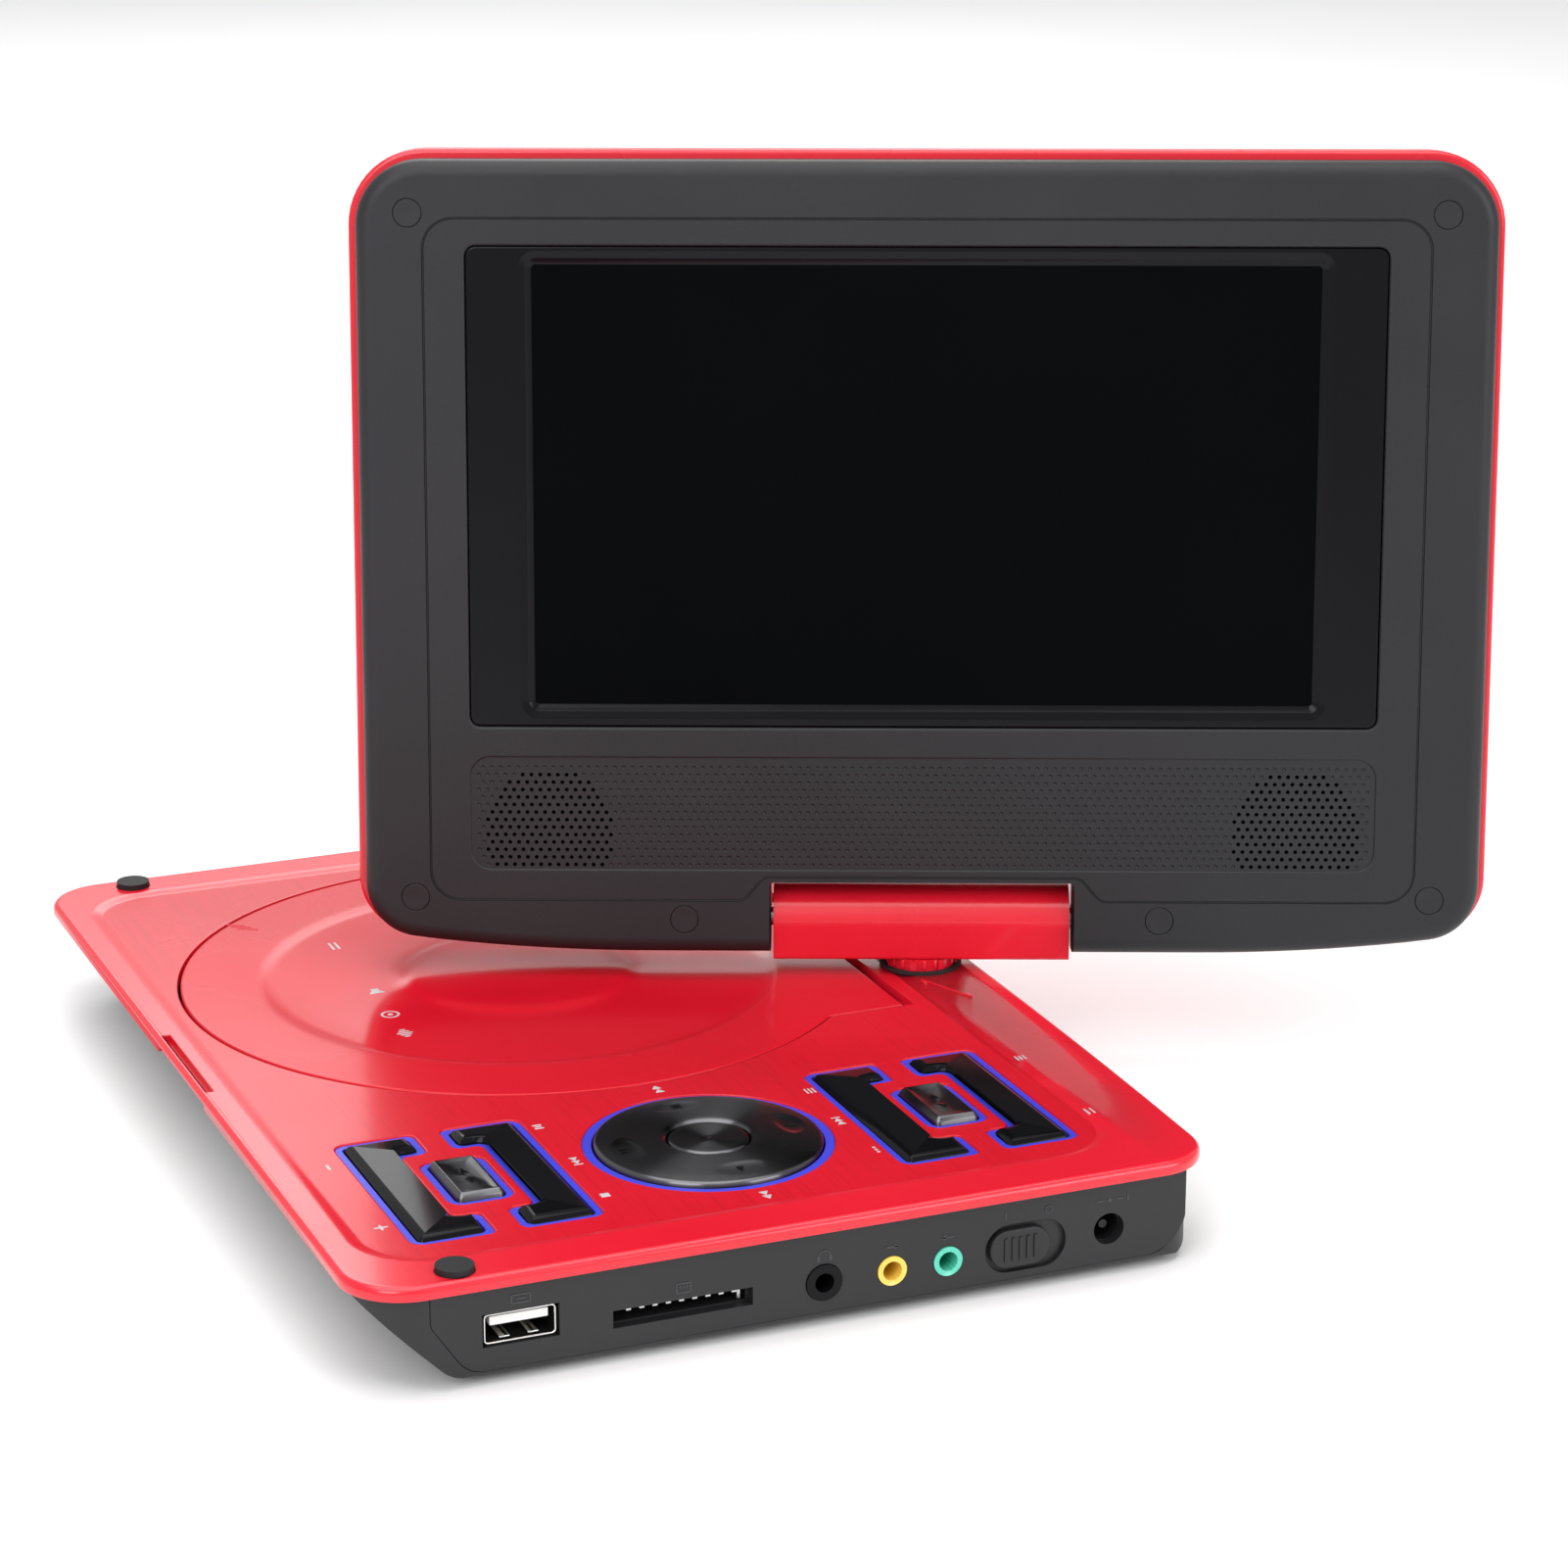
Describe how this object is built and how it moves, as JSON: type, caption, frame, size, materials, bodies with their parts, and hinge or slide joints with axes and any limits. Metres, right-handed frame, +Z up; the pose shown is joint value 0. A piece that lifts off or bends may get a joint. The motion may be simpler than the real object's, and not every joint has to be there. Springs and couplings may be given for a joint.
{
  "type": "portable DVD player",
  "caption": "Portable disc player with a swivelling, tilting widescreen display on a flat base with a round disc door, key field, navigation dial and side sockets.",
  "frame": {"origin": "centre of the base's footprint, on the surface it stands on", "axes": "+X is the socket side, -Y the front edge, +Y the hinge edge, +Z up"},
  "size_m": [0.2262, 0.2663, 0.1834],
  "materials": {
    "red_shell": "gloss red moulded plastic",
    "black_case": "matt black moulded plastic",
    "bezel_grey": "fine textured dark grey plastic",
    "gloss_black": "polished black plastic",
    "blue_trim": "blue plastic",
    "screen_glass": "dark display glass",
    "rubber_black": "black rubber",
    "steel": "pressed steel",
    "socket_metal": "nickel plated",
    "aluminium": "satin",
    "yellow_jack": "yellow plastic",
    "green_jack": "green plastic",
    "board_green": "solder masked board",
    "lens_glass": "coated lens",
    "battery_wrap": "shrink wrap",
    "white_plastic": "natural plastic"
  },
  "bodies": {
    "base": {"av_in_jack": "green_jack", "av_out_jack": "yellow_jack", "battery_pack": "battery_wrap", "bearing_plate": "steel", "bottom_case": "black_case", "card_socket": "black_case", "case_screws": "steel", "chassis_dampers": "rubber_black", "dc_jack": "black_case", "disc_tray": "black_case", "dome_switches": "steel", "door_hinge_pins": "steel", "drive_chassis": "steel", "feed_motor": "steel", "guide_rods": "steel", "headphone_jack": "gloss_black", "key_board": "board_green", "key_surround": "blue_trim", "main_board": "board_green", "port_panel": "black_case", "power_switch": "steel", "rubber_bumpers": "rubber_black", "rubber_feet": "rubber_black", "spindle_motor": "steel", "swivel_ring": "rubber_black", "top_panel": "red_shell", "usb_socket": "socket_metal", "usb_tongue": "white_plastic"},
    "swivel": {"swivel_post": "red_shell", "swivel_retainer": "steel", "hinge_cover_front": "red_shell", "hinge_cover_rear": "red_shell", "hinge_bracket": "steel", "tilt_pins": "steel"},
    "screen": {"screen_back_cover": "red_shell", "screen_bezel": "bezel_grey", "screw_covers": "bezel_grey", "screen_screws": "steel", "window_frame": "gloss_black", "lcd_panel": "screen_glass", "backlight": "white_plastic", "display_board": "board_green", "speakers": "black_case", "screen_hinge_arms": "steel"},
    "door": {"disc_door": "red_shell"},
    "volume_key": {"volume_key": "gloss_black"},
    "channel_key": {"channel_key": "gloss_black"},
    "menu_key": {"menu_key": "gloss_black"},
    "search_key": {"search_key": "gloss_black"},
    "mode_key": {"mode_key": "gloss_black"},
    "source_key": {"source_key": "gloss_black"},
    "dial_pivot": {"dial_pivot_ring": "rubber_black"},
    "dial": {"nav_dial": "gloss_black"},
    "play_button": {"play_button": "gloss_black"},
    "power_knob": {"power_knob": "black_case"},
    "turntable": {"turntable": "black_case", "disc_hub": "white_plastic"},
    "pickup": {"pickup_sled": "aluminium", "pickup_lens": "lens_glass"},
    "feed_screw": {"feed_screw": "steel"}
  },
  "joints": [
    {"name": "screen_swivel", "type": "hinge", "parent": "base", "child": "swivel", "pos_m": [0, 0.0718, 0.022], "axis": [0, 0, 1], "range_deg": [-156.6, 113.3]},
    {"name": "screen_tilt", "type": "hinge", "parent": "swivel", "child": "screen", "pos_m": [0, 0.0718, 0.0308], "axis": [0.396, 0.9182, 0], "range_deg": [-83.5, 96.4]},
    {"name": "door_open", "type": "hinge", "parent": "base", "child": "door", "pos_m": [-0.0282, 0.0596, 0.017], "axis": [-1, 0, 0], "range_deg": [0, 2.2]},
    {"name": "volume_key_rock", "type": "hinge", "parent": "base", "child": "volume_key", "pos_m": [0.0708, -0.05675, 0.0163], "axis": [0, 1, 0], "range_deg": [-1.1, 1.1], "stiffness_Nm_per_rad": 0.25},
    {"name": "channel_key_rock", "type": "hinge", "parent": "base", "child": "channel_key", "pos_m": [0.0708, -0.04105, 0.0163], "axis": [0, 1, 0], "range_deg": [-1.1, 1.1], "stiffness_Nm_per_rad": 0.25},
    {"name": "search_key_rock", "type": "hinge", "parent": "base", "child": "search_key", "pos_m": [0.0708, 0.03555, 0.0163], "axis": [0, 1, 0], "range_deg": [-1.1, 1.1], "stiffness_Nm_per_rad": 0.25},
    {"name": "mode_key_rock", "type": "hinge", "parent": "base", "child": "mode_key", "pos_m": [0.0708, 0.05125, 0.0163], "axis": [0, 1, 0], "range_deg": [-1.1, 1.1], "stiffness_Nm_per_rad": 0.25},
    {"name": "menu_key_press", "type": "slide", "parent": "base", "child": "menu_key", "axis": [0, 0, 1], "range_m": [-0.0005, 0], "stiffness_N_per_m": 250},
    {"name": "source_key_press", "type": "slide", "parent": "base", "child": "source_key", "axis": [0, 0, 1], "range_m": [-0.0005, 0], "stiffness_N_per_m": 250},
    {"name": "dial_left_right", "type": "hinge", "parent": "base", "child": "dial_pivot", "pos_m": [0.0708, -0.0026, 0.0154], "axis": [1, 0, 0], "range_deg": [-1, 1], "stiffness_Nm_per_rad": 0.25},
    {"name": "dial_up_down", "type": "hinge", "parent": "dial_pivot", "child": "dial", "pos_m": [0.0708, -0.0026, 0.0161], "axis": [0, 1, 0], "range_deg": [-1, 1], "stiffness_Nm_per_rad": 0.25},
    {"name": "play_button_press", "type": "slide", "parent": "dial", "child": "play_button", "axis": [0, 0, 1], "range_m": [-0.0004, 0], "stiffness_N_per_m": 250},
    {"name": "power_slide", "type": "slide", "parent": "base", "child": "power_knob", "axis": [0, 1, 0], "range_m": [0, 0.0022]},
    {"name": "disc_spin", "type": "hinge", "parent": "base", "child": "turntable", "pos_m": [-0.0282, -0.0046, 0.012], "axis": [0, 0, 1], "continuous": true},
    {"name": "pickup_slide", "type": "slide", "parent": "base", "child": "pickup", "axis": [0, 1, 0], "range_m": [0, 0.03]},
    {"name": "feed_screw_turn", "type": "hinge", "parent": "base", "child": "feed_screw", "pos_m": [-0.0032, 0.03, 0.0076], "axis": [0, 1, 0], "range_deg": [-5, 3605]}
  ],
  "couplings": [
    {"joint": "feed_screw_turn", "follows": "pickup_slide", "rad_per_m": 2094.4}
  ]
}
